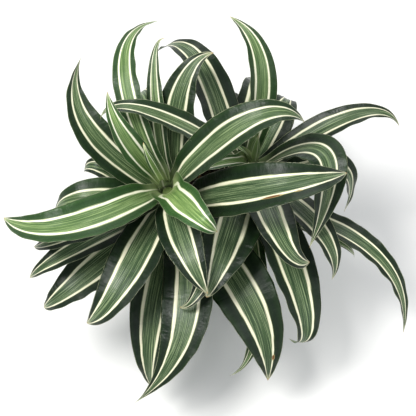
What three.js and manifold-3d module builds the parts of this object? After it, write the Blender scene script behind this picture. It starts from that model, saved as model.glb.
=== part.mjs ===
// A striped dracaena with two crowns of strap leaves, standing in a plain nursery pot.
// Millimetres, +Z up. The origin is the centre of the pot's underside.

import * as THREE from 'three';
import { mergeVertices } from 'three/addons/utils/BufferGeometryUtils.js';
import Module from 'manifold-3d';

// Pot
const POT_HEIGHT = 112;
const POT_BASE_RADIUS = 46;
const POT_RIM_RADIUS = 64;
const POT_WALL = 2;
const POT_FLOOR = 3;
const POT_CHAMFER = 2;
const RIM_BAND_HEIGHT = 14;
const RIM_OVERHANG = 2.5;
const POT_SIDES = 64;
const DRAIN_HOLES = 6;
const DRAIN_HOLE_RADIUS = 5;
const DRAIN_CIRCLE_RADIUS = 33;
const DRAIN_HOLE_SIDES = 16;
const LIP_EASE = 1;

// Soil
const SOIL_LEVEL = 98;
const SOIL_MOUND = 4;
const SOIL_SIDES = 48;
const SOIL_CROWN_SHARE = 0.55;
const SOIL_CROWN_DROP = 0.5;
const GAP = 0.3;

// Canes
const CANE_RADIUS = 6.2;
const CANE_BURIED = 40;
const CANE_TOP_DEPTH = 14;
const CANE_SIDES = 16;

// Leaves
const LEAF_THICKNESS = 0.8;
const SHEATH_RADIUS = 8;
const SHEATH_HALF_WRAP = THREE.MathUtils.degToRad(80);
const BUD_HALF_WRAP = THREE.MathUtils.degToRad(120);
const CUP_WIDTH = 56;
const OLD_LEAF_FLARE = THREE.MathUtils.degToRad(48);
const YOUNG_LEAF_FLARE = THREE.MathUtils.degToRad(10);
const SHEATH_REACH = 34;
const SHEATH_REACH_SHARE = 0.4;
const SHEATH_LENGTH = 34;
const NECK_SHARE = 0.55;
const BUD_RADIUS = 2.6;
const BUD_GROWTH = 1.75;
const BUD_LEAVES = 3;
const CHANNEL_HALF_ANGLE = THREE.MathUtils.degToRad(20);
const MIDPOINT_SHARE = 0.55;
const WIDEST_SHARE = 0.47;
const TIP_FULLNESS = 1.65;
const TWIST_START = 0.55;
const HOOK_START = 0.75;
const SPINE_STEPS = 48;
const STEPS_PER_RING = 4;
const STRIPS_ACROSS = 4;

// Each crown: where its cane leaves the soil, the crown's centre, and its leaves from the oldest and
// lowest to the youngest. A leaf's middle and tip are each a compass angle (0 to the right, 90 to the
// back), a reach from the crown's centre and a height above the ground. Twist turns the blade about
// its midrib beyond the middle, in degrees, and hook bends the tip aside. A point over 1 draws the
// tip out longer, and cup marks the leaf whose wide sheath wraps the shoot.
const CROWNS = [
  {
    name: 'left',
    foot: [-24, -6],
    centre: [-45, -20, 205],
    firstLeaf: 8,
    leafSpacing: 4.4,
    leaves: [
      { width: 40, middle: [96, 100, 150], tip: [100, 155, 95] },
      { width: 60, middle: [315, 105, 135], tip: [305, 180, 65] },
      { width: 30, middle: [149, 53, 165], tip: [154, 85, 150] },
      { width: 47, middle: [266, 90, 124], tip: [266, 150, 55] },
      { width: 50, middle: [285, 100, 139], tip: [261, 175, 68], point: 1.8 },
      { width: 40, middle: [83, 85, 178], tip: [82, 140, 120] },
      { width: 52, middle: [227, 90, 150], tip: [219, 145, 115] },
      { width: 40, middle: [181, 60, 170], tip: [178, 105, 130] },
      { width: 53, middle: [344, 90, 228], tip: [1, 175, 210] },
      { width: 34, middle: [217, 85, 176], tip: [211, 145, 145] },
      { width: 40, middle: [78, 75, 215], tip: [66, 125, 245] },
      { width: 36, middle: [148, 70, 215], tip: [122, 145, 225], twist: 50, point: 1.5 },
      { width: 48, middle: [251, 85, 178], tip: [239, 135, 132] },
      { width: 30, middle: [215, 80, 195], tip: [204, 130, 168] },
      { width: 18, middle: [94, 85, 225], tip: [88, 130, 245] },
      { width: 40, middle: [289, 65, 200], tip: [293, 115, 176] },
      { width: 42, middle: [20, 75, 254], tip: [16, 140, 242] },
      { width: 44, middle: [220, 85, 226], tip: [194, 150, 195] },
      { width: 36, middle: [300, 57, 236], tip: [309, 85, 224], cup: true },
      { width: 25, middle: [112, 85, 245], tip: [90, 165, 225], point: 1.3 },
      { width: 26, middle: [160, 30, 255], tip: [132, 70, 275], point: 1.2 },
      { width: 11, middle: [175, 8, 238], tip: [145, 17, 255] },
    ],
  },
  {
    name: 'right',
    foot: [26, 8],
    centre: [45, 22, 172],
    firstLeaf: 3,
    leafSpacing: 3.6,
    leaves: [
      { width: 17, middle: [315, 85, 132], tip: [322, 125, 108] },
      { width: 40, middle: [112, 70, 146], tip: [106, 115, 100] },
      { width: 31, middle: [322, 115, 146], tip: [313, 210, 98] },
      { width: 42, middle: [72, 65, 132], tip: [73, 110, 82] },
      { width: 42, middle: [89, 60, 158], tip: [89, 120, 120] },
      { width: 22, middle: [271, 120, 122], tip: [264, 185, 60], hook: 6, point: 1.2 },
      { width: 40, middle: [358, 70, 158], tip: [341, 95, 116] },
      { width: 46, middle: [124, 80, 205], tip: [130, 150, 182] },
      { width: 32, middle: [250, 110, 160], tip: [243, 160, 146], hook: -5 },
      { width: 36, middle: [63, 46, 170], tip: [67, 90, 143] },
      { width: 50, middle: [289, 125, 134], tip: [282, 160, 92] },
      { width: 36, middle: [308, 85, 170], tip: [303, 135, 134] },
      { width: 31, middle: [21, 85, 188], tip: [12, 145, 178] },
      { width: 57, middle: [254, 95, 178], tip: [252, 150, 157] },
      { width: 45, middle: [282, 85, 188], tip: [295, 120, 163] },
      { width: 34, middle: [177, 85, 238], tip: [179, 145, 243], hook: -4 },
      { width: 38, middle: [347, 60, 209], tip: [297, 110, 170], point: 1.3 },
      { width: 31, middle: [82, 42, 240], tip: [103, 110, 255] },
      { width: 16, middle: [223, 44, 213], tip: [212, 65, 204] },
      { width: 12, middle: [205, 21, 208], tip: [211, 35, 216] },
      { width: 10, middle: [279, 4, 200], tip: [4, 3, 215] },
    ],
  },
];

// Colours: the youngest leaves are bright and the oldest dark
const YOUNG_GREEN = new THREE.Color('#5f8a3c');
const OLD_GREEN = new THREE.Color('#26402c');
const YOUTH_BIAS = 2;
const CANE_COLOUR = '#8a7a55';
const POT_COLOUR = '#2b2c2b';
const SOIL_COLOUR = '#3a2c20';
const LEAF_ROUGHNESS = 0.45;
const CANE_ROUGHNESS = 0.8;
const POT_ROUGHNESS = 0.6;
const SOIL_ROUGHNESS = 0.95;

const WELD_DISTANCE = 1e-4;

const polar = (centre, [degrees, reach, height]) => {
  const angle = THREE.MathUtils.degToRad(degrees);
  const x = centre.x + reach * Math.cos(angle);
  const y = centre.y + reach * Math.sin(angle);
  return new THREE.Vector3(x, y, height);
};

const smooth = (value, from, to) => THREE.MathUtils.smoothstep(value, from, to);

const material = (color, roughness) => new THREE.MeshStandardMaterial({ color, roughness, metalness: 0 });

const named = (name, geometry, surface) => {
  const mesh = new THREE.Mesh(geometry, surface);
  mesh.name = name;
  return mesh;
};

// Solids that are cut by others

const wasm = await Module();
wasm.setup();

const toSolid = (geometry) => {
  const bare = geometry.clone();
  bare.deleteAttribute('normal');
  bare.deleteAttribute('uv');
  const merged = mergeVertices(bare, WELD_DISTANCE);
  const vertProperties = new Float32Array(merged.attributes.position.array);
  const triVerts = new Uint32Array(merged.index.array);
  return new wasm.Manifold(new wasm.Mesh({ numProp: 3, vertProperties, triVerts }));
};

const toGeometry = (solid) => {
  const mesh = solid.getMesh();
  const geometry = new THREE.BufferGeometry();
  geometry.setAttribute('position', new THREE.BufferAttribute(new Float32Array(mesh.vertProperties), 3));
  geometry.setIndex(new THREE.BufferAttribute(new Uint32Array(mesh.triVerts), 1));
  geometry.computeVertexNormals();
  return geometry;
};

const turned = (profile, sides) => {
  const points = profile.map(([radius, height]) => new THREE.Vector2(radius, height));
  return new THREE.LatheGeometry(points, sides).rotateX(Math.PI / 2);
};

// Pot: a tapered wall with a band under its lip and drain holes through the floor

const wallRadius = (height) => {
  const top = POT_RIM_RADIUS - RIM_OVERHANG;
  return THREE.MathUtils.lerp(POT_BASE_RADIUS, top, height / POT_HEIGHT);
};

const makePot = () => {
  const bandFoot = POT_HEIGHT - RIM_BAND_HEIGHT;
  const shell = turned([
    [0, 0],
    [POT_BASE_RADIUS - POT_CHAMFER, 0],
    [wallRadius(POT_CHAMFER), POT_CHAMFER],
    [wallRadius(bandFoot), bandFoot],
    [POT_RIM_RADIUS - LIP_EASE, bandFoot],
    [POT_RIM_RADIUS, POT_HEIGHT - LIP_EASE],
    [POT_RIM_RADIUS - LIP_EASE, POT_HEIGHT],
    [wallRadius(POT_HEIGHT) - POT_WALL, POT_HEIGHT],
    [wallRadius(POT_FLOOR) - POT_WALL, POT_FLOOR],
    [0, POT_FLOOR],
  ], POT_SIDES);
  let pot = toSolid(shell);
  for (let hole = 0; hole < DRAIN_HOLES; hole += 1) {
    const angle = (2 * Math.PI * hole) / DRAIN_HOLES;
    const x = DRAIN_CIRCLE_RADIUS * Math.cos(angle);
    const y = DRAIN_CIRCLE_RADIUS * Math.sin(angle);
    const radius = DRAIN_HOLE_RADIUS;
    const drill = new THREE.CylinderGeometry(radius, radius, 4 * POT_FLOOR, DRAIN_HOLE_SIDES);
    drill.rotateX(Math.PI / 2);
    drill.translate(x, y, 0);
    pot = pot.subtract(toSolid(drill));
  }
  return toGeometry(pot);
};

// Canes: straight tapering stems that lean apart

class Crown {
  constructor(plan) {
    Object.assign(this, plan);
    this.foot = new THREE.Vector3(plan.foot[0], plan.foot[1], SOIL_LEVEL);
    this.centre = new THREE.Vector3(...plan.centre);
    this.axis = this.centre.clone().sub(this.foot).normalize();
  }

  along(distance) {
    return this.foot.clone().addScaledVector(this.axis, distance);
  }

  get caneLength() {
    return this.firstLeaf + this.leafSpacing * (this.leaves.length - 1 - BUD_LEAVES) - CANE_TOP_DEPTH;
  }
}

const caneBody = (crown, radius) => {
  const path = new THREE.LineCurve3(crown.along(-CANE_BURIED), crown.along(crown.caneLength));
  const outline = new THREE.Shape().absarc(0, 0, radius, 0, 2 * Math.PI);
  return new THREE.ExtrudeGeometry(outline, {
    steps: 1,
    curveSegments: CANE_SIDES,
    extrudePath: path,
  });
};

// Soil: fills the pot to below its lip, slightly mounded, with a socket round each cane

const makeSoil = (crowns) => {
  const fill = turned([
    [0, POT_FLOOR + GAP],
    [wallRadius(POT_FLOOR) - POT_WALL - GAP, POT_FLOOR + GAP],
    [wallRadius(SOIL_LEVEL - SOIL_MOUND) - POT_WALL - GAP, SOIL_LEVEL - SOIL_MOUND],
    [wallRadius(SOIL_LEVEL) * SOIL_CROWN_SHARE, SOIL_LEVEL - SOIL_CROWN_DROP],
    [0, SOIL_LEVEL],
  ], SOIL_SIDES);
  const sockets = crowns.map((crown) => toSolid(caneBody(crown, CANE_RADIUS + GAP)));
  return toGeometry(sockets.reduce((soil, socket) => soil.subtract(socket), toSolid(fill)));
};

// Leaves

// A leaf leaves its cane along a sheath, arches through its middle point and ends at its tip.
const leafCurve = (crown, leaf, order) => {
  const middle = polar(crown.centre, leaf.middle);
  const tip = polar(crown.centre, leaf.tip);
  const node = crown.along(crown.firstLeaf + crown.leafSpacing * order);
  const outward = middle.clone().sub(node);
  outward.addScaledVector(crown.axis, -outward.dot(crown.axis)).normalize();
  const age = 1 - order / (crown.leaves.length - 1);
  const flare = THREE.MathUtils.lerp(YOUNG_LEAF_FLARE, OLD_LEAF_FLARE, age);
  const base = node.clone().addScaledVector(outward, sheathRadius(crown, order));
  const reach = Math.min(SHEATH_REACH, SHEATH_REACH_SHARE * base.distanceTo(middle));
  const sheath = base.clone()
    .addScaledVector(crown.axis, reach * Math.cos(flare))
    .addScaledVector(outward, reach * Math.sin(flare));
  const t = MIDPOINT_SHARE;
  const r = 1 - t;
  const shoulder = middle.clone()
    .addScaledVector(base, -r * r * r)
    .addScaledVector(sheath, -3 * r * r * t)
    .addScaledVector(tip, -t * t * t)
    .divideScalar(3 * r * t * t);
  return { curve: new THREE.CubicBezierCurve3(base, sheath, shoulder, tip), outward };
};

// The youngest leaves are rolled tighter, each inside the next, and go further round the shoot.
const youthRank = (crown, order) => crown.leaves.length - 1 - order;

const sheathRadius = (crown, order) => {
  return Math.min(SHEATH_RADIUS, BUD_RADIUS + BUD_GROWTH * youthRank(crown, order));
};

const fullWrap = (crown, order) => (youthRank(crown, order) < BUD_LEAVES ? BUD_HALF_WRAP : SHEATH_HALF_WRAP);

const sheathWidth = (crown, leaf, order) => {
  return leaf.cup ? CUP_WIDTH : 2 * fullWrap(crown, order) * sheathRadius(crown, order);
};

// Half the leaf's width at a share of its length: a sheath, a broad middle and a pointed tip
const halfWidth = (leaf, share, length, sheath) => {
  if (share < WIDEST_SHARE) {
    const rise = Math.sin((Math.PI / 2) * (share / WIDEST_SHARE));
    const blade = THREE.MathUtils.lerp(NECK_SHARE, 1, rise) * leaf.width;
    const clasp = 1 - smooth(share * length, SHEATH_LENGTH / 4, SHEATH_LENGTH);
    return THREE.MathUtils.lerp(blade, sheath, clasp) / 2;
  }
  const past = (share - WIDEST_SHARE) / (1 - WIDEST_SHARE);
  return (leaf.width / 2) * (1 - past ** TIP_FULLNESS) ** (leaf.point ?? 1);
};

// Frames along the midrib: where it is, which way the blade faces, its width and how far it curls
const leafSpine = (crown, leaf, order) => {
  const { curve, outward } = leafCurve(crown, leaf, order);
  const length = curve.getLength();
  const sheath = sheathWidth(crown, leaf, order);
  const widestWrap = fullWrap(crown, order);
  let side = new THREE.Vector3().crossVectors(outward, crown.axis).normalize();
  const frames = [];
  for (let step = 0; step <= SPINE_STEPS; step += 1) {
    const share = step / SPINE_STEPS;
    const point = curve.getPointAt(share);
    const along = curve.getTangentAt(share);
    side = side.clone().addScaledVector(along, -side.dot(along)).normalize();
    const turn = (leaf.twist ?? 0) * smooth(share, TWIST_START, 1);
    const across = side.clone().applyAxisAngle(along, THREE.MathUtils.degToRad(turn));
    const up = new THREE.Vector3().crossVectors(across, along);
    const pastHook = Math.max(0, (share - HOOK_START) / (1 - HOOK_START));
    const hooked = pastHook ** 2 * (leaf.hook ?? 0);
    const fromAxis = point.clone().sub(crown.foot);
    fromAxis.addScaledVector(crown.axis, -fromAxis.dot(crown.axis));
    point.addScaledVector(across, hooked);
    const half = Math.min(halfWidth(leaf, share, length, sheath), widestWrap * fromAxis.length());
    const wrap = Math.max(CHANNEL_HALF_ANGLE, half / fromAxis.length());
    frames.push({ point, across, up, half, wrap });
  }
  return frames;
};

// A closed blade: the upper and lower faces share their margins and meet in a point at the tip
const makeLeaf = (crown, leaf, order) => {
  const frames = leafSpine(crown, leaf, order).filter((_, step) => step % STEPS_PER_RING === 0);
  const vertices = [];
  const indices = [];
  const addVertex = (frame, across, lift) => {
    const angle = across * frame.wrap;
    const radius = frame.half / frame.wrap;
    const vertex = frame.point.clone()
      .addScaledVector(frame.up, radius)
      .addScaledVector(frame.across, (radius - lift) * Math.sin(angle))
      .addScaledVector(frame.up, (lift - radius) * Math.cos(angle));
    vertices.push(vertex.x, vertex.y, vertex.z);
  };
  const ringSize = 2 * STRIPS_ACROSS;
  for (const frame of frames.slice(0, -1)) {
    for (let strip = 0; strip < ringSize; strip += 1) {
      const onTop = strip <= STRIPS_ACROSS;
      const across = onTop ? -1 + (2 * strip) / STRIPS_ACROSS : 3 - (2 * strip) / STRIPS_ACROSS;
      const thin = (LEAF_THICKNESS / 2) * (1 - across * across);
      addVertex(frame, across, onTop ? thin : -thin);
    }
  }
  const rings = frames.length - 1;
  for (let ring = 0; ring < rings - 1; ring += 1) {
    for (let strip = 0; strip < ringSize; strip += 1) {
      const next = (strip + 1) % ringSize;
      const a = ring * ringSize + strip;
      const b = ring * ringSize + next;
      const c = a + ringSize;
      const d = b + ringSize;
      // Both faces are split along the same diagonal, so they never cross
      if (strip < STRIPS_ACROSS) indices.push(a, b, c, b, d, c);
      else indices.push(a, b, d, a, d, c);
    }
  }
  const tip = frames.at(-1).point;
  vertices.push(tip.x, tip.y, tip.z);
  const last = (rings - 1) * ringSize;
  for (let strip = 0; strip < ringSize; strip += 1) {
    indices.push(last + strip, last + ((strip + 1) % ringSize), rings * ringSize);
  }
  for (let strip = 0; strip < STRIPS_ACROSS; strip += 1) {
    const under = (ringSize - strip) % ringSize;
    const underNext = ringSize - strip - 1;
    if (under !== strip) indices.push(strip, under, underNext);
    if (underNext !== strip + 1) indices.push(strip, underNext, strip + 1);
  }
  const geometry = new THREE.BufferGeometry();
  geometry.setAttribute('position', new THREE.Float32BufferAttribute(vertices, 3));
  geometry.setIndex(indices);
  geometry.computeVertexNormals();
  return geometry;
};

const leafColour = (crown, order) => {
  const youth = order / (crown.leaves.length - 1);
  return OLD_GREEN.clone().lerp(YOUNG_GREEN, youth ** YOUTH_BIAS);
};

const makeCrown = (crown) => {
  const group = new THREE.Group();
  const bark = material(CANE_COLOUR, CANE_ROUGHNESS);
  group.add(named(`${crown.name}_cane`, caneBody(crown, CANE_RADIUS), bark));
  crown.leaves.forEach((leaf, order) => {
    const number = String(order + 1).padStart(2, '0');
    const surface = material(leafColour(crown, order), LEAF_ROUGHNESS);
    group.add(named(`${crown.name}_leaf_${number}`, makeLeaf(crown, leaf, order), surface));
  });
  return group;
};

const crowns = CROWNS.map((plan) => new Crown(plan));
const group = new THREE.Group();
group.add(named('nursery_pot', makePot(), material(POT_COLOUR, POT_ROUGHNESS)));
group.add(named('potting_soil', makeSoil(crowns), material(SOIL_COLOUR, SOIL_ROUGHNESS)));
crowns.forEach((crown) => group.add(makeCrown(crown)));

export default group;
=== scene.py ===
# Looks of the potted dracaena: two crowns of striped strap leaves on short canes in a nursery pot.
# The scene is in metres, +Z up. Sizes below are in millimetres and become metres where meshes are made.

import math
import random

import bpy
import numpy as np
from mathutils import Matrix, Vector, noise


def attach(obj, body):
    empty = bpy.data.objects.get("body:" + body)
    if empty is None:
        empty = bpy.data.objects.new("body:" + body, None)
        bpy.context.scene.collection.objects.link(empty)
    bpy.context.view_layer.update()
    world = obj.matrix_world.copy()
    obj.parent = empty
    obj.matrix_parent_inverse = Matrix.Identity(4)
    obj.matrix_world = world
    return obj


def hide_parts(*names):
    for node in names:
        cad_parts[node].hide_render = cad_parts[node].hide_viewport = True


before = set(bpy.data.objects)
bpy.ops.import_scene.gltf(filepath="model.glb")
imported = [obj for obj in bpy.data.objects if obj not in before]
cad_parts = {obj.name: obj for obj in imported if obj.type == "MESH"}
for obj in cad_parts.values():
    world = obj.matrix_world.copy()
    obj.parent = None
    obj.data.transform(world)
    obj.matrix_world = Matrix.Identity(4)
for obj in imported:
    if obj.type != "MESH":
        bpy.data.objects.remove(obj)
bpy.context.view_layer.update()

MM = 0.001
SOIL_LEVEL = 98.0
POT_HEIGHT = 112.0
POT_BASE_RADIUS = 46.0
POT_RIM_RADIUS = 64.0
POT_WALL = 2.0
POT_FLOOR = 3.0
RIM_BAND_HEIGHT = 14.0
RIM_OVERHANG = 2.5
DRAIN_HOLES = 6
DRAIN_HOLE_RADIUS = 5.0
DRAIN_CIRCLE_RADIUS = 33.0
SOIL_MOUND = 4.0
GAP = 0.3

CANE_RADIUS = 6.2
CANE_BURIED = 40.0
CANE_TOP_DEPTH = 14.0

SHEATH_RADIUS = 8.0
SHEATH_HALF_WRAP = math.radians(80)
BUD_HALF_WRAP = math.radians(120)
CUP_WIDTH = 56.0
OLD_LEAF_FLARE = math.radians(48)
YOUNG_LEAF_FLARE = math.radians(10)
SHEATH_REACH = 34.0
SHEATH_LENGTH = 34.0
NECK_SHARE = 0.55
BUD_RADIUS = 2.6
BUD_GROWTH = 1.75
BUD_LEAVES = 3
CHANNEL_HALF_ANGLE = math.radians(20)
MIDPOINT_SHARE = 0.55
WIDEST_SHARE = 0.47
TIP_FULLNESS = 1.65
SHEATH_REACH_SHARE = 0.4
TWIST_START = 0.55
HOOK_START = 0.75

LEAF_THICKNESS = 0.7
STEPS_ALONG = 96
STRIPS_ACROSS = 28
MIDRIB_CROWDING = 1.1
CURVE_SAMPLES = 801
SMALLEST_HALF_WIDTH = 0.05

# A blade's relief fades in beyond the sheath and fades out where the blade is narrow
FREE_FROM_SHARE = 0.7
FREE_BY_SHARE = 1.6
FULL_RELIEF_HALF_WIDTH = 8
LEAST_THICKNESS_SHARE = 0.35
MARGIN_WAVE_LENGTHS = (17, 25)
MARGIN_WAVE_HEIGHTS = (0.35, 0.8)
MIDRIB_FOLD = 0.45
MIDRIB_FOLD_SPREAD = 0.07
KEEL = 0.35
KEEL_SPREAD = 0.06
RIDGE_HEIGHT = 0.10
RIDGE_TURNS_PER_MM = 1.9

# Youth runs from 0, dark, to 1, bright: young leaves are paler green, and the same value paints light, the
# dark end as painted shade on lower inner leaves and the bright end as painted light shining through young
# leaves; leaves given none take this plain value
PLAIN_YOUTH_AND_LIGHT = 0.04
UNDERSIDE_U_SHIFT = 2

CANE_SIDES = 56
CANE_ROWS = 190
SCAR_SPACING = (3.2, 4.6)
SCAR_SLANT = 0.9
SCAR_WIDTH = 0.42
SCAR_HEIGHT = 0.42
BARK_INSET = 0.55
BARK_LUMP = 0.22
CANE_END_EASE = 0.6

SOIL_DROP = 1.2
SOIL_RINGS = 64
SOIL_SIDES = 168
SOIL_SIDE_LEVELS = 6
CRUMB_HEIGHT = 0.85
LOOSE_TOP = 0.9
# Loose bits: kind, count, smallest and largest size, flatness
LOOSE_BITS = (
    (1.0, 190, (1.2, 3.6), 0.5),
    (2.0, 120, (0.7, 1.7), 0.9),
    (0.0, 260, (0.8, 2.0), 0.8),
)
POT_SIDES = 144

# Each leaf: width, middle and tip as (compass angle, reach, height), and what sets it apart
# A leaf's youth is its own age colour and also painted light: low values paint the shade on lower inner
# leaves, high values the light shining through young ones
CROWNS = {
    "left": dict(foot=(-24, -6), centre=(-45, -20, 205), first=8, spacing=4.4, leaves=[
        (40, (96, 100, 150), (100, 155, 95), {}),
        (60, (315, 105, 135), (305, 180, 65), {}),
        (30, (149, 53, 165), (154, 85, 150), {}),
        (47, (266, 90, 124), (266, 150, 55), {}),
        (50, (285, 100, 139), (261, 175, 68), {"point": 1.8}),
        (40, (83, 85, 178), (82, 140, 120), {}),
        (52, (227, 90, 150), (219, 145, 115), {}),
        (40, (181, 60, 170), (178, 105, 130), {"youth": 0.2}),
        (53, (344, 90, 228), (1, 175, 210), {}),
        (34, (217, 85, 176), (211, 145, 145), {}),
        (40, (78, 75, 215), (66, 125, 245), {"youth": 0.12}),
        (36, (148, 70, 215), (122, 145, 225), {"twist": 50, "point": 1.5, "youth": 0.15}),
        (48, (251, 85, 178), (239, 135, 132), {}),
        (30, (215, 80, 195), (204, 130, 168), {}),
        (18, (94, 85, 225), (88, 130, 245), {"youth": 0.35}),
        (40, (289, 65, 200), (293, 115, 176), {}),
        (42, (20, 75, 254), (16, 140, 242), {"youth": 0.2}),
        (44, (220, 85, 226), (194, 150, 195), {"youth": 0.5}),
        (36, (300, 57, 236), (309, 85, 224), {"cup": True, "youth": 0.95}),
        (25, (112, 85, 245), (90, 165, 225), {"point": 1.3, "youth": 0.5}),
        (26, (160, 30, 255), (132, 70, 275), {"point": 1.2, "youth": 0.75}),
        (11, (175, 8, 238), (145, 17, 255), {"youth": 1.0}),
    ]),
    "right": dict(foot=(26, 8), centre=(45, 22, 172), first=3, spacing=3.6, leaves=[
        (17, (315, 85, 132), (322, 125, 108), {"youth": 0.4}),
        (40, (112, 70, 146), (106, 115, 100), {}),
        (31, (322, 115, 146), (313, 210, 98), {}),
        (42, (72, 65, 132), (73, 110, 82), {}),
        (42, (89, 60, 158), (89, 120, 120), {}),
        (22, (271, 120, 122), (264, 185, 60), {"hook": 6, "point": 1.2, "youth": 0.3}),
        (40, (358, 70, 158), (341, 95, 116), {}),
        (46, (124, 80, 205), (130, 150, 182), {}),
        (32, (250, 110, 160), (243, 160, 146), {"hook": -5}),
        (36, (63, 46, 170), (67, 90, 143), {}),
        (50, (289, 125, 134), (282, 160, 92), {}),
        (36, (308, 85, 170), (303, 135, 134), {}),
        (31, (21, 85, 188), (12, 145, 178), {}),
        (57, (254, 95, 178), (252, 150, 157), {}),
        (45, (282, 85, 188), (295, 120, 163), {}),
        (34, (177, 85, 238), (179, 145, 243), {"hook": -4, "youth": 0.15}),
        (38, (347, 60, 209), (297, 110, 170), {"point": 1.3, "youth": 0.1}),
        (31, (82, 42, 240), (103, 110, 255), {"youth": 0.35}),
        (16, (223, 44, 213), (212, 65, 204), {"youth": 0.9}),
        (12, (205, 21, 208), (211, 35, 216), {"youth": 1.0}),
        (10, (279, 4, 200), (4, 3, 215), {"youth": 1.0}),
    ]),
}

# Scorched spots: (leaf, place across from -1 to 1, share along, size across, size along)
SCORCHES = {
    "left_leaf_09_blade": [(0.46, 0.60, 0.05, 0.045), (0.44, 0.70, 0.04, 0.020)],
    "left_leaf_02_blade": [(-0.45, 0.86, 0.11, 0.016)],
}


# ---------------------------------------------------------------- small helpers

def unit(v):
    return v / np.linalg.norm(v)


def lerp(a, b, t):
    return a + (b - a) * t


def smooth(x, low, high):
    t = np.clip((x - low) / (high - low), 0, 1)
    return t * t * (3 - 2 * t)


def object_from(name, vertices, faces, material, smooth_shading=True):
    mesh = bpy.data.meshes.new(name)
    mesh.from_pydata([tuple(v) for v in vertices], [], faces)
    mesh.materials.append(material)
    mesh.polygons.foreach_set("use_smooth", [smooth_shading] * len(mesh.polygons))
    mesh.update()
    obj = bpy.data.objects.new(name, mesh)
    bpy.context.scene.collection.objects.link(obj)
    return obj


def point_values(obj, name, values):
    layer = obj.data.attributes.new(name, "FLOAT", "POINT")
    layer.data.foreach_set("value", np.asarray(values, dtype=np.float32))


# ---------------------------------------------------------------- node building

class Nodes:
    """Builds one material's node tree."""

    def __init__(self, name):
        self.material = bpy.data.materials.new(name)
        self.material.use_nodes = True
        self.tree = self.material.node_tree
        self.shader = self.tree.nodes["Principled BSDF"]

    def add(self, kind, **settings):
        node = self.tree.nodes.new(kind)
        for key, value in settings.items():
            setattr(node, key, value)
        return node

    def put(self, socket, value):
        if isinstance(value, bpy.types.NodeSocket):
            self.tree.links.new(value, socket)
        elif isinstance(value, (tuple, list)) and len(value) == 3 and socket.type == "RGBA":
            socket.default_value = (*value, 1)
        else:
            socket.default_value = value

    def math(self, operation, a, b=0.0, clamp=False):
        node = self.add("ShaderNodeMath", operation=operation, use_clamp=clamp)
        self.put(node.inputs[0], a)
        self.put(node.inputs[1], b)
        return node.outputs[0]

    def attribute(self, name):
        return self.add("ShaderNodeAttribute", attribute_name=name).outputs["Fac"]

    def join(self, x, y, z):
        node = self.add("ShaderNodeCombineXYZ")
        for socket, value in zip(node.inputs, (x, y, z)):
            self.put(socket, value)
        return node.outputs[0]

    def noise(self, vector, scale, detail=2.0, roughness=0.5):
        node = self.add("ShaderNodeTexNoise")
        self.put(node.inputs["Vector"], vector)
        node.inputs["Scale"].default_value = scale
        node.inputs["Detail"].default_value = detail
        node.inputs["Roughness"].default_value = roughness
        return node.outputs["Fac"]

    def spread(self, value, low, high, to_low=0.0, to_high=1.0, step="SMOOTHSTEP"):
        node = self.add("ShaderNodeMapRange", interpolation_type=step)
        for socket, given in zip(node.inputs, (value, low, high, to_low, to_high)):
            self.put(socket, given)
        return node.outputs[0]

    def mix(self, share, a, b, blend="MIX"):
        node = self.add("ShaderNodeMix", data_type="RGBA", blend_type=blend)
        self.put(node.inputs[0], share)
        self.put(node.inputs[6], a)
        self.put(node.inputs[7], b)
        return node.outputs[2]

    def ramp(self, value, stops):
        node = self.add("ShaderNodeValToRGB")
        ramp = node.color_ramp
        ramp.elements[0].position, ramp.elements[1].position = stops[0][0], stops[-1][0]
        ramp.elements[0].color, ramp.elements[1].color = (*stops[0][1], 1), (*stops[-1][1], 1)
        for position, colour in stops[1:-1]:
            ramp.elements.new(position).color = (*colour, 1)
        self.put(node.inputs[0], value)
        return node.outputs[0]

    def bump(self, height, distance, strength=1.0, after=None):
        node = self.add("ShaderNodeBump")
        node.inputs["Distance"].default_value = distance
        node.inputs["Strength"].default_value = strength
        self.put(node.inputs["Height"], height)
        if after is not None:
            self.put(node.inputs["Normal"], after)
        return node.outputs[0]


def rgb(code):
    """A linear colour from the usual six hex digits."""
    parts = [int(code[i:i + 2], 16) / 255 for i in (0, 2, 4)]
    return tuple(p / 12.92 if p <= 0.04045 else ((p + 0.055) / 1.055) ** 2.4 for p in parts)


# ---------------------------------------------------------------- materials

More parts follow.
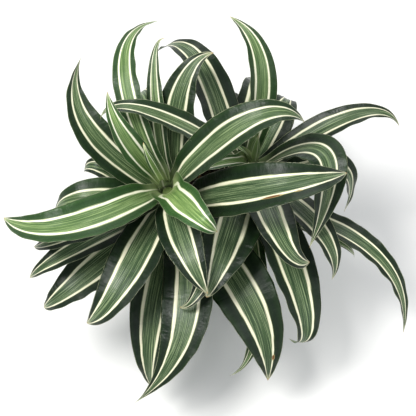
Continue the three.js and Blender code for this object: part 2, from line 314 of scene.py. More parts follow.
def leaf_material():
    n = Nodes("leaf_striped")
    uv = n.add("ShaderNodeUVMap", uv_map="Leaf")
    parts = n.add("ShaderNodeSeparateXYZ")
    n.put(parts.inputs[0], uv.outputs[0])
    u, v = parts.outputs[0], parts.outputs[1]
    under = n.math("GREATER_THAN", u, 1.5)
    within = n.math("SUBTRACT", u, n.math("MULTIPLY", under, 2.0))
    across = n.math("SUBTRACT", n.math("MULTIPLY", within, 2.0), 1.0)
    youth, seed = n.attribute("youth"), n.attribute("seed")
    half, length = n.attribute("half_mm"), n.attribute("length_mm")
    x_mm = n.math("MULTIPLY", across, half)
    y_mm = n.math("MULTIPLY", v, length)
    shift = n.math("MULTIPLY", seed, 37.0)
    apart = n.math("ABSOLUTE", across)
    own = n.math("FRACT", n.math("MULTIPLY", seed, 5.37))
    scaled = n.math("MULTIPLY", apart, n.spread(own, 0.0, 1.0, 0.88, 1.16, "LINEAR"))

    # the stripes' edges waver slowly along the leaf and finely across it
    slow = n.noise(n.join(n.math("MULTIPLY", across, 0.9), n.math("MULTIPLY", y_mm, 0.018), shift), 1.0, 2.0)
    fine = n.noise(n.join(n.math("MULTIPLY", x_mm, 0.9), n.math("MULTIPLY", y_mm, 0.012), shift), 1.0, 3.0)
    waver = n.math("ADD", n.math("MULTIPLY", n.math("SUBTRACT", slow, 0.5), 0.16),
                   n.math("MULTIPLY", n.math("SUBTRACT", fine, 0.5), 0.09))
    place = n.math("ADD", scaled, waver, clamp=True)

    # the dark ramp is old leaves' deep green with painted shade of the lower inner leaves; the bright ramp
    # is young leaves' paler green with painted light shining through them
    old_shaded_tones = n.ramp(place, [
        (0.00, rgb("43583a")), (0.20, rgb("344a2f")), (0.37, rgb("3e5537")), (0.40, rgb("e2dfbe")),
        (0.495, rgb("efebd2")), (0.515, rgb("a9b283")), (0.535, rgb("12230f")), (0.75, rgb("0b1a0e")),
        (1.00, rgb("14270f"))])
    young_lit_tones = n.ramp(place, [
        (0.00, rgb("7b9858")), (0.30, rgb("68864a")), (0.375, rgb("759355")), (0.405, rgb("eef0d6")),
        (0.515, rgb("f5f5e2")), (0.54, rgb("c3cf98")), (0.565, rgb("3c6030")), (0.80, rgb("2e5124")),
        (1.00, rgb("3f6430"))])
    colour = n.mix(youth, old_shaded_tones, young_lit_tones)

    # fine lengthwise streaks, strongest in the middle band
    line_place = n.join(n.math("MULTIPLY", x_mm, 1.0), n.math("MULTIPLY", y_mm, 0.010), shift)
    lines = n.noise(line_place, 1.7, 4.0, 0.65)
    thin = n.noise(line_place, 4.2, 3.0, 0.6)
    middle = n.spread(place, 0.36, 0.42, 1.0, 0.0)
    lighter = n.math("MULTIPLY", n.spread(lines, 0.52, 0.60), middle)
    colour = n.mix(n.math("MULTIPLY", lighter, 0.62), colour, n.mix(youth, rgb("9aab80"), rgb("a9c576")))
    darker = n.math("MULTIPLY", n.spread(lines, 0.49, 0.40), middle)
    colour = n.mix(n.math("MULTIPLY", darker, 0.75), colour, n.mix(youth, rgb("1a2e18"), rgb("3f6a29")))
    margin = n.spread(place, 0.55, 0.60)
    pale_lines = n.math("MULTIPLY", n.math("MULTIPLY", n.spread(thin, 0.58, 0.72), margin), 0.22)
    colour = n.mix(pale_lines, colour, n.mix(youth, rgb("4a653c"), rgb("86a858")))
    stripe = n.math("MULTIPLY", n.spread(place, 0.41, 0.43), n.spread(place, 0.545, 0.52))
    green_lines = n.math("MULTIPLY", n.math("MULTIPLY", n.spread(thin, 0.56, 0.70), stripe), 0.35)
    colour = n.mix(green_lines, colour, rgb("a9b78c"))

    # the thin pale edge, the paler sheath and the dry point
    inward = n.math("SUBTRACT", half, n.math("MULTIPLY", apart, half))
    edge = n.math("MULTIPLY", n.spread(inward, 0.55, 0.2), 0.6)
    colour = n.mix(edge, colour, rgb("c3c9a2"))
    sheath = n.math("MULTIPLY", n.spread(y_mm, 26.0, 4.0), 0.55)
    colour = n.mix(sheath, colour, n.mix(youth, rgb("8ba070"), rgb("c4d296")))
    from_tip = n.math("SUBTRACT", length, y_mm)
    ragged = n.math("MULTIPLY", n.math("SUBTRACT", fine, 0.5), 6.0)
    dry = n.spread(n.math("ADD", from_tip, ragged), 4.5, 1.2)
    colour = n.mix(n.spread(from_tip, 12.0, 3.0, 0.0, 0.45), colour, rgb("c9c9a0"))
    colour = n.mix(dry, colour, rgb("b39a6c"))

    # scorched spots with a yellow halo
    burnt = n.attribute("scorch")
    ragged_edge = n.math("SUBTRACT", n.noise(line_place, 2.4, 3.0), 0.5)
    specks = n.math("ADD", burnt, n.math("MULTIPLY", ragged_edge, 0.5))
    colour = n.mix(n.math("MULTIPLY", n.spread(specks, 0.25, 0.42), 0.7), colour, rgb("b6a86f"))
    colour = n.mix(n.spread(specks, 0.45, 0.6), colour, rgb("6b4526"))

    # undersides are paler and greyer; no two leaves match exactly
    washed = n.mix(0.42, colour, n.mix(youth, rgb("71876c"), rgb("93ab76")))
    colour = n.mix(under, colour, washed)
    patch = n.noise(n.join(n.math("MULTIPLY", x_mm, 0.05), n.math("MULTIPLY", y_mm, 0.02), shift), 1.0, 3.0)
    lot = n.math("SUBTRACT", n.math("FRACT", n.math("MULTIPLY", seed, 7.31)), 0.5)
    blotch = n.math("MULTIPLY", n.math("SUBTRACT", patch, 0.5), 0.34)
    tone = n.math("ADD", blotch, n.math("MULTIPLY", lot, 0.16))
    bright = n.add("ShaderNodeHueSaturation")
    n.put(bright.inputs["Value"], n.math("ADD", 1.0, tone))
    n.put(bright.inputs["Color"], colour)
    n.put(n.shader.inputs["Base Color"], bright.outputs[0])

    gloss = n.noise(n.join(n.math("MULTIPLY", x_mm, 0.12), n.math("MULTIPLY", y_mm, 0.05), shift), 1.0, 4.0)
    rough = n.spread(gloss, 0.3, 0.7, 0.30, 0.46)
    rough = n.math("ADD", rough, n.math("MULTIPLY", under, 0.12))
    rough = n.math("ADD", rough, n.math("MULTIPLY", dry, 0.25))
    n.put(n.shader.inputs["Roughness"], rough)
    n.shader.inputs["Coat Weight"].default_value = 0.06
    n.shader.inputs["Coat Roughness"].default_value = 0.28
    n.shader.inputs["Specular IOR Level"].default_value = 0.30

    vein_phase = n.math("ADD", n.math("MULTIPLY", x_mm, 5.2), n.math("MULTIPLY", lines, 4.0))
    veins = n.math("MULTIPLY", n.math("SINE", vein_phase), 0.5)
    first = n.bump(n.math("ADD", veins, n.math("MULTIPLY", lines, 1.5)), 0.00010, 0.8)
    dents = n.noise(n.join(n.math("MULTIPLY", x_mm, 0.10), n.math("MULTIPLY", y_mm, 0.22), shift), 1.0, 3.0)
    second = n.bump(n.math("MULTIPLY", dents, n.spread(apart, 0.3, 0.8, 0.45, 1.0)), 0.0011, 0.8, first)
    n.put(n.shader.inputs["Normal"], second)
    return n.material


def cane_material():
    n = Nodes("cane_bark")
    place = n.add("ShaderNodeTexCoord").outputs["Object"]
    broad = n.noise(place, 130.0, 5.0, 0.6)
    ring = n.attribute("scar")
    colour = n.ramp(broad, [(0.25, rgb("6f6143")), (0.5, rgb("93845c")), (0.75, rgb("a99c74"))])
    colour = n.mix(n.math("MULTIPLY", ring, 0.7), colour, rgb("574930"))
    colour = n.mix(n.math("MULTIPLY", n.attribute("green"), 0.9), colour, rgb("5f7a38"))
    n.put(n.shader.inputs["Base Color"], colour)
    n.put(n.shader.inputs["Roughness"], n.spread(broad, 0.2, 0.8, 0.62, 0.85))
    n.put(n.shader.inputs["Normal"], n.bump(n.noise(place, 900.0, 4.0, 0.6), 0.0003, 0.8))
    return n.material


def soil_material():
    n = Nodes("potting_mix")
    place = n.add("ShaderNodeTexCoord").outputs["Object"]
    grain = n.noise(place, 420.0, 6.0, 0.7)
    damp = n.noise(place, 40.0, 3.0, 0.5)
    colour = n.ramp(grain, [(0.28, rgb("17100b")), (0.5, rgb("33241a")), (0.72, rgb("5a4430"))])
    colour = n.mix(n.spread(damp, 0.35, 0.65, 0.0, 0.5), colour, rgb("1d1510"))
    bark = n.ramp(grain, [(0.3, rgb("4a2f1c")), (0.7, rgb("8a6440"))])
    perlite = n.ramp(grain, [(0.3, rgb("b9b3a4")), (0.7, rgb("e9e5db"))])
    bit = n.attribute("bit")
    colour = n.mix(n.spread(bit, 0.4, 0.6), colour, bark)
    colour = n.mix(n.spread(bit, 1.4, 1.6), colour, perlite)
    n.put(n.shader.inputs["Base Color"], colour)
    n.put(n.shader.inputs["Roughness"], n.spread(damp, 0.3, 0.7, 0.95, 0.8))
    n.put(n.shader.inputs["Normal"], n.bump(grain, 0.0012, 0.9))
    return n.material


def pot_material():
    n = Nodes("nursery_plastic")
    place = n.add("ShaderNodeTexCoord").outputs["Object"]
    parts = n.add("ShaderNodeSeparateXYZ")
    n.put(parts.inputs[0], place)
    mottle = n.noise(place, 60.0, 4.0, 0.6)
    grain = n.noise(place, 1500.0, 3.0, 0.6)
    colour = n.ramp(mottle, [(0.3, rgb("232423")), (0.7, rgb("303231"))])
    dust = n.math("MULTIPLY", n.spread(mottle, 0.5, 0.72), n.spread(parts.outputs[2], 0.0, 0.03, 0.55, 0.12))
    colour = n.mix(dust, colour, rgb("6a6155"))
    n.put(n.shader.inputs["Base Color"], colour)
    n.put(n.shader.inputs["Roughness"], n.spread(mottle, 0.3, 0.7, 0.48, 0.66))
    n.put(n.shader.inputs["Normal"], n.bump(grain, 0.00012, 0.7))
    return n.material


def floor_material():
    n = Nodes("floor_pale")
    place = n.add("ShaderNodeTexCoord").outputs["Object"]
    cloud = n.noise(place, 2.0, 3.0, 0.5)
    n.put(n.shader.inputs["Base Color"], n.ramp(cloud, [(0.3, rgb("eeeeec")), (0.7, rgb("f3f3f1"))]))
    n.put(n.shader.inputs["Roughness"], n.spread(cloud, 0.3, 0.7, 0.85, 0.95))
    return n.material


# ---------------------------------------------------------------- leaves

class Crown:
    def __init__(self, plan):
        self.leaves = plan["leaves"]
        self.first, self.spacing = plan["first"], plan["spacing"]
        self.foot = np.array([*plan["foot"], SOIL_LEVEL], float)
        self.centre = np.array(plan["centre"], float)
        self.axis = unit(self.centre - self.foot)
        self.cane_length = self.first + self.spacing * (len(self.leaves) - 1 - BUD_LEAVES) - CANE_TOP_DEPTH

    def along(self, distance):
        return self.foot + self.axis * distance

    def polar(self, place):
        degrees, reach, height = place
        angle = math.radians(degrees)
        x = self.centre[0] + reach * math.cos(angle)
        y = self.centre[1] + reach * math.sin(angle)
        return np.array([x, y, height])


def sheath_radius(crown, order):
    return min(SHEATH_RADIUS, BUD_RADIUS + BUD_GROWTH * (len(crown.leaves) - 1 - order))


def full_wrap(crown, order):
    return BUD_HALF_WRAP if len(crown.leaves) - 1 - order < BUD_LEAVES else SHEATH_HALF_WRAP


def midrib(crown, leaf, order):
    """Points and directions evenly spaced along the leaf's midrib, and the way it leaves its cane."""
    _, middle, tip, _ = leaf
    middle, tip = crown.polar(middle), crown.polar(tip)
    node = crown.along(crown.first + crown.spacing * order)
    outward = middle - node
    outward = unit(outward - crown.axis * outward.dot(crown.axis))
    flare = lerp(YOUNG_LEAF_FLARE, OLD_LEAF_FLARE, 1 - order / (len(crown.leaves) - 1))
    base = node + outward * sheath_radius(crown, order)
    reach = min(SHEATH_REACH, SHEATH_REACH_SHARE * np.linalg.norm(base - middle))
    sheath = base + crown.axis * reach * math.cos(flare) + outward * reach * math.sin(flare)
    t = MIDPOINT_SHARE
    r = 1 - t
    shoulder = (middle - base * r ** 3 - sheath * 3 * r * r * t - tip * t ** 3) / (3 * r * t * t)
    fine = np.linspace(0, 1, CURVE_SAMPLES)[:, None]
    back = 1 - fine
    curve = (back ** 3 * base + 3 * back ** 2 * fine * sheath
             + 3 * back * fine ** 2 * shoulder + fine ** 3 * tip)
    run = np.concatenate([[0], np.cumsum(np.linalg.norm(np.diff(curve, axis=0), axis=1))])
    even = np.linspace(0, run[-1], STEPS_ALONG + 1)
    t = np.interp(even, run, fine[:, 0])[:, None]
    r = 1 - t
    points = r ** 3 * base + 3 * r ** 2 * t * sheath + 3 * r * t ** 2 * shoulder + t ** 3 * tip
    slopes = r * r * (sheath - base) + 2 * r * t * (shoulder - sheath) + t * t * (tip - shoulder)
    slopes /= np.linalg.norm(slopes, axis=1)[:, None]
    return points, slopes, run[-1], outward


def half_width(leaf, share, length, sheath):
    width, extras = leaf[0], leaf[3]
    if share < WIDEST_SHARE:
        rise = math.sin(math.pi / 2 * share / WIDEST_SHARE)
        blade = lerp(NECK_SHARE, 1, rise) * width
        clasp = 1 - smooth(share * length, SHEATH_LENGTH / 4, SHEATH_LENGTH)
        return lerp(blade, sheath, clasp) / 2
    past = (share - WIDEST_SHARE) / (1 - WIDEST_SHARE)
    return width / 2 * max(0.0, 1 - past ** TIP_FULLNESS) ** extras.get("point", 1)


def ripple_at(place, rates, phases):
    """A margin's wave: one sine and a smaller one over it."""
    broad = math.sin(place * rates[0] + phases[0])
    return broad + 0.5 * math.sin(place * rates[1] + phases[1])


def make_leaf(name, crown, leaf, order, material):
    points, slopes, length, outward = midrib(crown, leaf, order)
    extras = leaf[3]
    wrap_limit = full_wrap(crown, order)
    sheath = CUP_WIDTH if extras.get("cup") else 2 * wrap_limit * sheath_radius(crown, order)
    rng = random.Random(name)
    phases = [rng.uniform(0, 2 * math.pi) for _ in range(4)]
    waves = rng.uniform(*MARGIN_WAVE_LENGTHS)
    ripple = rng.uniform(*MARGIN_WAVE_HEIGHTS)
    side = unit(np.cross(outward, crown.axis))
    across = np.linspace(-1, 1, STRIPS_ACROSS + 1)
    # sections crowd slightly towards the midrib, where the blade folds
    across = np.sign(across) * np.abs(across) ** MIDRIB_CROWDING
    rings, halves = [], []
    for step in range(STEPS_ALONG + 1):
        share = step / STEPS_ALONG
        point, along = points[step].copy(), slopes[step]
        side = unit(side - along * side.dot(along))
        turn = math.radians(extras.get("twist", 0)) * float(smooth(share, TWIST_START, 1))
        over = np.cross(along, side)
        sideways = side * math.cos(turn) + over * math.sin(turn)
        up = np.cross(sideways, along)
        from_axis = point - crown.foot
        from_axis = np.linalg.norm(from_axis - crown.axis * from_axis.dot(crown.axis))
        past_hook = max(0, (share - HOOK_START) / (1 - HOOK_START))
        point += sideways * past_hook ** 2 * extras.get("hook", 0)
        half = min(half_width(leaf, share, length, sheath), wrap_limit * from_axis)
        wrap = max(CHANNEL_HALF_ANGLE, half / from_axis)
        radius = half / wrap
        distance = share * length
        free = float(smooth(distance, SHEATH_LENGTH * FREE_FROM_SHARE, SHEATH_LENGTH * FREE_BY_SHARE))
        narrow = min(1.0, half / FULL_RELIEF_HALF_WIDTH)
        left = ripple_at(distance / waves, (2 * math.pi, 3.7), phases[:2])
        right = ripple_at(distance / waves, (5.8, 4.1), phases[2:])
        wave = np.where(across < 0, left, right) * np.abs(across) ** 4 * ripple * free * narrow
        fold = -MIDRIB_FOLD * np.exp(-(across / MIDRIB_FOLD_SPREAD) ** 2) * free * narrow
        ridges = RIDGE_HEIGHT * np.cos(across * half * RIDGE_TURNS_PER_MM) * (1 - np.abs(across))
        ridges = ridges * free * narrow
        angle = across * wrap
        faces = []
        for sign in (1, -1):
            thin = sign * (LEAF_THICKNESS / 2) * (1 - across ** 2) * max(LEAST_THICKNESS_SHARE, narrow)
            keel = -KEEL * np.exp(-(across / KEEL_SPREAD) ** 2) * free * narrow if sign < 0 else 0.0
            lift = thin + wave + fold + ridges + keel
            out = np.outer(np.sin(angle) * (radius - lift), sideways)
            rise = np.outer(radius - (radius - lift) * np.cos(angle), up)
            faces.append(point + out + rise)
        rings.append(faces)
        halves.append(max(half, SMALLEST_HALF_WIDTH))
    count = STRIPS_ACROSS + 1
    vertices, values = [], []
    top, bottom = [], []
    for step in range(STEPS_ALONG):
        upper, lower = rings[step]
        top_row, bottom_row = [], []
        for i in range(count):
            top_row.append(len(vertices))
            vertices.append(upper[i])
            values.append((across[i], step / STEPS_ALONG, halves[step]))
        for i in range(count):
            if i in (0, count - 1):
                bottom_row.append(top_row[i])
                continue
            bottom_row.append(len(vertices))
            vertices.append(lower[i])
            values.append((across[i], step / STEPS_ALONG, halves[step]))
        top.append(top_row)
        bottom.append(bottom_row)
    tip = len(vertices)
    vertices.append(rings[-1][0][count // 2] * 0.5 + rings[-1][1][count // 2] * 0.5)
    values.append((0.0, 1.0, SMALLEST_HALF_WIDTH))
    faces, corners = [], []

    def face(loop, underside):
        faces.append(loop)
        for vertex in loop:
            a, v, _ = values[vertex]
            corners.append(((a + 1) / 2 + UNDERSIDE_U_SHIFT * underside, v))

    for step in range(STEPS_ALONG - 1):
        for i in range(STRIPS_ACROSS):
            a, b = top[step][i], top[step][i + 1]
            c, d = top[step + 1][i + 1], top[step + 1][i]
            face((a, b, c, d), 0)
            a, b = bottom[step][i], bottom[step][i + 1]
            c, d = bottom[step + 1][i + 1], bottom[step + 1][i]
            face((a, d, c, b), 1)
    for i in range(STRIPS_ACROSS):
        face((top[-1][i], top[-1][i + 1], tip), 0)
        face((bottom[-1][i], tip, bottom[-1][i + 1]), 1)
        a, b, c, d = top[0][i], bottom[0][i], bottom[0][i + 1], top[0][i + 1]
        loop = []
        for vertex in (a, b, c, d):
            if vertex not in loop:
                loop.append(vertex)
        if len(loop) > 2:
            face(tuple(loop), 1)
    obj = object_from(name, np.array(vertices) * MM, faces, material)
    layer = obj.data.uv_layers.new(name="Leaf")
    layer.data.foreach_set("uv", np.array(corners, dtype=np.float32).ravel())
    total = len(vertices)
    # per-leaf tone: age colour, with painted shade at the dark end and painted light at the bright end
    point_values(obj, "youth", [extras.get("youth", PLAIN_YOUTH_AND_LIGHT)] * total)
    point_values(obj, "seed", [rng.random()] * total)
    point_values(obj, "half_mm", [value[2] for value in values])
    point_values(obj, "length_mm", [length] * total)
    burnt = np.zeros(total)
    placed = np.array(values)
    for spot_across, spot_along, size_across, size_along in SCORCHES.get(name, ()):
        sideways = (placed[:, 0] - spot_across) / size_across
        lengthways = (placed[:, 1] - spot_along) / size_along
        burnt = np.maximum(burnt, np.exp(-(sideways ** 2 + lengthways ** 2)))
    point_values(obj, "scorch", burnt)
    return obj


# ---------------------------------------------------------------- canes, soil and pot

def make_cane(name, crown, material):
    """A short stem ringed by the scars of shed leaves."""
    rng = random.Random(name)
    sides, rows = CANE_SIDES, CANE_ROWS
    low, high = -CANE_BURIED, crown.cane_length
    side = unit(np.cross(crown.axis, [0, 1, 0]))
    other = np.cross(crown.axis, side)
    scars = []
    height = low + 2
    while height < high:
        scars.append((height, rng.uniform(0, 2 * math.pi)))
        height += rng.uniform(*SCAR_SPACING)
    vertices, scar_values, green_values = [], [], []
    for row in range(rows + 1):
        distance = lerp(low, high, row / rows)
        for i in range(sides):
            angle = 2 * math.pi * i / sides
            ridge = 0.0
            for centre, turn in scars:
                level = centre + SCAR_SLANT * math.cos(angle - turn)
                if abs(distance - level) < 2:
                    ridge = max(ridge, math.exp(-((distance - level) / SCAR_WIDTH) ** 2))
            direction = side * math.cos(angle) + other * math.sin(angle)
            x, y, z = direction * 1.4
            lump = noise.noise(Vector((x, y, z + distance * 0.15)))
            radius = CANE_RADIUS - BARK_INSET + SCAR_HEIGHT * ridge + BARK_LUMP * lump
            if row in (0, rows):
                radius -= CANE_END_EASE
            vertices.append(crown.along(distance) + direction * radius)
            scar_values.append(ridge)
            green_values.append(float(smooth(distance, 8, high - 12)))
    faces = []
    for row in range(rows):
        for i in range(sides):
            j = (i + 1) % sides
            faces.append((row * sides + i, row * sides + j, (row + 1) * sides + j, (row + 1) * sides + i))
    for row, distance, flip in ((0, low, True), (rows, high, False)):
        middle = len(vertices)
        vertices.append(crown.along(distance))
        scar_values.append(0.0)
        green_values.append(float(smooth(distance, 8, high - 12)))
        for i in range(sides):
            j = (i + 1) % sides
            a, b = row * sides + i, row * sides + j
            faces.append((b, a, middle) if flip else (a, b, middle))
    obj = object_from(name, np.array(vertices) * MM, faces, material)
    point_values(obj, "scar", scar_values)
    point_values(obj, "green", green_values)
    return obj


def wall_radius(height):
    return lerp(POT_BASE_RADIUS, POT_RIM_RADIUS - RIM_OVERHANG, height / POT_HEIGHT)


def soil_height(radius, edge):
    """The mound's smooth height, before the crumbs."""
    return SOIL_LEVEL - SOIL_DROP - SOIL_MOUND * float(smooth(radius / edge, 0.3, 1.0)) * 0.9


def make_soil(material):
    """The fill, with a crumbly surface and loose bark and perlite lying in it."""
    rng = random.Random("soil")
    rings, sides = SOIL_RINGS, SOIL_SIDES
    edge = wall_radius(SOIL_LEVEL - SOIL_MOUND) - POT_WALL - GAP
    vertices, faces = [(0, 0, SOIL_LEVEL - SOIL_DROP)], []
    for ring in range(1, rings + 1):
        radius = edge * ring / rings
        for i in range(sides):
            angle = 2 * math.pi * i / sides
            x, y = radius * math.cos(angle), radius * math.sin(angle)
            height = soil_height(radius, edge)
            crumbs = noise.fractal(Vector((x * 0.16, y * 0.16, 3.0)), 0.9, 2.1, 5)
            crumbs += 0.5 * noise.noise(Vector((x * 0.9, y * 0.9, 9.0)))
            fade = 1 if ring < rings else 0
            vertices.append((x, y, height + CRUMB_HEIGHT * crumbs * fade))
    for i in range(sides):
        faces.append((0, 1 + i, 1 + (i + 1) % sides))
    for ring in range(rings - 1):
        for i in range(sides):
            j = (i + 1) % sides
            a = 1 + ring * sides
            b = a + sides
            faces.append((a + i, b + i, b + j, a + j))
    start = 1 + (rings - 1) * sides
    floor = POT_FLOOR + GAP
    foot_radius = wall_radius(POT_FLOOR) - POT_WALL - GAP
    for level in range(1, SOIL_SIDE_LEVELS + 1):
        share = level / SOIL_SIDE_LEVELS
        height = lerp(SOIL_LEVEL - SOIL_MOUND, floor, share)
        radius = lerp(edge, foot_radius, share)
        for i in range(sides):
            angle = 2 * math.pi * i / sides
            vertices.append((radius * math.cos(angle), radius * math.sin(angle), height))
        a, b = start, len(vertices) - sides
        for i in range(sides):
            j = (i + 1) % sides
            faces.append((a + i, b + i, b + j, a + j))
        start = b
    vertices.append((0, 0, floor))
    for i in range(sides):
        faces.append((start + (i + 1) % sides, start + i, len(vertices) - 1))
    kinds = [0.0] * len(vertices)

    ball, ball_faces = small_ball()
    for kind, count, sizes, flat in LOOSE_BITS:
        for _ in range(count):
            radius, angle = edge * 0.95 * math.sqrt(rng.random()), rng.uniform(0, 2 * math.pi)
            size = rng.uniform(*sizes)
            x, y = radius * math.cos(angle), radius * math.sin(angle)
            height = soil_height(radius, edge)
            turn = rng.uniform(0, math.pi)
            stretch = (rng.uniform(0.7, 1.6), rng.uniform(0.5, 1.0), flat * rng.uniform(0.5, 0.9))
            if radius + size * 1.7 > edge:
                continue
            seed = rng.uniform(0, 100)
            base = len(vertices)
            for corner in ball:
                rough = 1 + 0.35 * noise.noise(Vector(corner) * 1.7 + Vector((seed, 0, 0)))
                px, py, pz = (size * rough * c * s for c, s in zip(corner, stretch))
                px, py = px * math.cos(turn) - py * math.sin(turn), px * math.sin(turn) + py * math.cos(turn)
                vertices.append((x + px, y + py, min(height + pz + 0.2 * size, SOIL_LEVEL + LOOSE_TOP)))
                kinds.append(kind)
            faces += [tuple(base + k for k in f) for f in ball_faces]
    obj = object_from("soil_mix", np.array(vertices) * MM, faces, material)
    point_values(obj, "bit", kinds)
    return obj


def small_ball():
    """A once-divided icosahedron's corners and faces."""
    g = (1 + math.sqrt(5)) / 2
    corners = [(-1, g, 0), (1, g, 0), (-1, -g, 0), (1, -g, 0), (0, -1, g), (0, 1, g),
               (0, -1, -g), (0, 1, -g), (g, 0, -1), (g, 0, 1), (-g, 0, -1), (-g, 0, 1)]
    faces = [(0, 11, 5), (0, 5, 1), (0, 1, 7), (0, 7, 10), (0, 10, 11), (1, 5, 9), (5, 11, 4), (11, 10, 2),
             (10, 7, 6), (7, 1, 8), (3, 9, 4), (3, 4, 2), (3, 2, 6), (3, 6, 8), (3, 8, 9), (4, 9, 5),
             (2, 4, 11), (6, 2, 10), (8, 6, 7), (9, 8, 1)]
    corners = [Vector(c).normalized() for c in corners]
    halfway, split = {}, []
    for a, b, c in faces:
        mids = []
        for p, q in ((a, b), (b, c), (c, a)):
            key = (min(p, q), max(p, q))
            if key not in halfway:
                halfway[key] = len(corners)
                corners.append(((corners[p] + corners[q]) / 2).normalized())
            mids.append(halfway[key])
        split += [(a, mids[0], mids[2]), (b, mids[1], mids[0]), (c, mids[2], mids[1]), tuple(mids)]
    return [tuple(c) for c in corners], split


def make_pot(material):
    """A thin blow-moulded nursery pot: rolled lip, banded rim, stepped foot and drain holes."""
    band_foot = POT_HEIGHT - RIM_BAND_HEIGHT
    outside = [
        (0, 0.8),
        (POT_BASE_RADIUS * 0.45, 0.8),
        (POT_BASE_RADIUS * 0.5, 0.0),
        (POT_BASE_RADIUS - 2.6, 0.0),
    ]
    for k in range(7):
        angle = math.pi / 2 * k / 6
        outside.append((POT_BASE_RADIUS - 2.6 + 2.2 * math.sin(angle), 2.2 - 2.2 * math.cos(angle)))
    for height in (8.0, 8.8, 10.0, 10.8):
        step = 0.5 if 8.4 < height < 10.4 else 0.0
        outside.append((wall_radius(height) - 0.35 - step, height))
    for height in np.linspace(14, band_foot - 3, 16):
        outside.append((wall_radius(height) - 0.35, float(height)))
    outside.append((wall_radius(band_foot) - 0.3, band_foot - 0.6))
    outside.append((POT_RIM_RADIUS - 2.2, band_foot - 0.2))
    outside.append((POT_RIM_RADIUS - 1.35, band_foot + 0.5))
    for height in (band_foot + 3.0, band_foot + 3.5, band_foot + 4.3, band_foot + 4.8):
        step = 0.35 if band_foot + 3.2 < height < band_foot + 4.6 else 0.0
        outside.append((POT_RIM_RADIUS - 1.25 + 0.05 * (height - band_foot) - step, height))
    outside.append((POT_RIM_RADIUS - 0.75, POT_HEIGHT - 3.6))
    for k in range(9):
        angle = math.radians(-30 + 230 * k / 8)
        radius = POT_RIM_RADIUS - 1.4 + 1.4 * math.cos(angle)
        outside.append((radius, POT_HEIGHT - 1.5 + 1.5 * math.sin(angle)))
    inside = []
    for height in np.linspace(POT_HEIGHT - 4, POT_FLOOR + 1.4, 18):
        inside.append((wall_radius(height) - POT_WALL, float(height)))
    inside.append((wall_radius(POT_FLOOR) - POT_WALL - 1.2, POT_FLOOR))
    inside.append((0, POT_FLOOR))
    profile = outside + inside
    sides = POT_SIDES
    vertices, faces = [(0, 0, profile[0][1])], []
    rows = []
    for radius, height in profile[1:-1]:
        rows.append(len(vertices))
        for i in range(sides):
            angle = 2 * math.pi * i / sides
            vertices.append((radius * math.cos(angle), radius * math.sin(angle), height))
    last = len(vertices)
    vertices.append((0, 0, profile[-1][1]))
    for i in range(sides):
        j = (i + 1) % sides
        faces.append((0, rows[0] + j, rows[0] + i))
        faces.append((last, rows[-1] + i, rows[-1] + j))
        for a, b in zip(rows, rows[1:]):
            faces.append((a + i, a + j, b + j, b + i))
    pot = object_from("pot_shell", np.array(vertices) * MM, faces, material)
    for hole in range(DRAIN_HOLES):
        angle = 2 * math.pi * hole / DRAIN_HOLES
        x, y = DRAIN_CIRCLE_RADIUS * math.cos(angle), DRAIN_CIRCLE_RADIUS * math.sin(angle)
        bpy.ops.mesh.primitive_cylinder_add(vertices=40, radius=DRAIN_HOLE_RADIUS * MM, depth=0.02,
                                            location=(x * MM, y * MM, 0))
        drill = bpy.context.object
        cut = pot.modifiers.new("drain", "BOOLEAN")
        cut.operation, cut.solver, cut.object = "DIFFERENCE", "EXACT", drill
        bpy.context.view_layer.update()
        shaped = bpy.data.meshes.new_from_object(pot.evaluated_get(bpy.context.evaluated_depsgraph_get()))
        pot.modifiers.clear()
        pot.data = shaped
        bpy.data.objects.remove(drill)
    pot.data.materials.clear()
    pot.data.materials.append(material)
    pot.data.polygons.foreach_set("use_smooth", [True] * len(pot.data.polygons))
    pot.data.set_sharp_from_angle(angle=math.radians(40))
    return pot


# ---------------------------------------------------------------- building everything

leaf_look = leaf_material()
crowns = {name: Crown(plan) for name, plan in CROWNS.items()}
for crown_name, crown in crowns.items():
    for order, leaf in enumerate(crown.leaves):
        node = f"{crown_name}_leaf_{order + 1:02d}"
        piece = make_leaf(f"{node}_blade", crown, leaf, order, leaf_look)
        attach(piece, "root")
        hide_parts(node)

bark = cane_material()
for crown_name, crown in crowns.items():
    cane = make_cane(f"{crown_name}_cane_bark", crown, bark)
    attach(cane, "root")
    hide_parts(f"{crown_name}_cane")

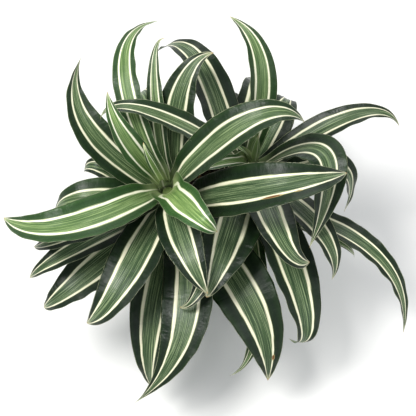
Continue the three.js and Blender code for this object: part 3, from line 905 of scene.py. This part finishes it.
soil = make_soil(soil_material())
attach(soil, "root")
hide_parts("potting_soil")

pot = make_pot(pot_material())
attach(pot, "root")
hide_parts("nursery_pot")

# ---------------------------------------------------------------- stage, lights and camera

FLOOR_REACH = 4
floor_corners = [(x * FLOOR_REACH, y * FLOOR_REACH, 0) for x, y in ((-1, -1), (1, -1), (1, 1), (-1, 1))]
floor = object_from("floor", floor_corners, [(0, 1, 2, 3)], floor_material())


def area_light(name, place, target, size, power, colour=(1, 1, 1)):
    data = bpy.data.lights.new(name, "AREA")
    data.shape, data.size, data.energy, data.color = "DISK", size, power, colour
    light = bpy.data.objects.new(name, data)
    light.location = place
    light.rotation_euler = (Vector(target) - Vector(place)).to_track_quat("-Z", "Y").to_euler()
    bpy.context.scene.collection.objects.link(light)


area_light("key", (-0.7, -0.2, 1.8), (0, 0, 0.15), 0.7, 34, (1.0, 0.99, 0.97))
area_light("fill", (1.3, -0.9, 1.2), (0, 0, 0.15), 1.2, 8, (0.96, 0.98, 1.0))
area_light("back", (0.3, 1.5, 1.1), (0, 0, 0.15), 1.0, 10)

world = bpy.data.worlds.new("studio")
world.use_nodes = True
world.node_tree.nodes["Background"].inputs[0].default_value = (0.93, 0.95, 1.0, 1)
world.node_tree.nodes["Background"].inputs[1].default_value = 0.5
bpy.context.scene.world = world
bpy.context.scene.view_settings.view_transform = "Standard"

VIEW_HEIGHT = math.radians(62)
VIEW_DISTANCE = 1.5
VIEW_WIDTH = 0.416
SENSOR_WIDTH = 36
TARGET = Vector((0, 0, 0.108))
camera = bpy.data.objects.new("camera", bpy.data.cameras.new("camera"))
camera.data.sensor_width = SENSOR_WIDTH
camera.data.lens = SENSOR_WIDTH * VIEW_DISTANCE / VIEW_WIDTH
camera.location = TARGET + Vector((0, -math.cos(VIEW_HEIGHT), math.sin(VIEW_HEIGHT))) * VIEW_DISTANCE
camera.rotation_euler = (TARGET - camera.location).to_track_quat("-Z", "Y").to_euler()
bpy.context.scene.collection.objects.link(camera)
bpy.context.scene.camera = camera
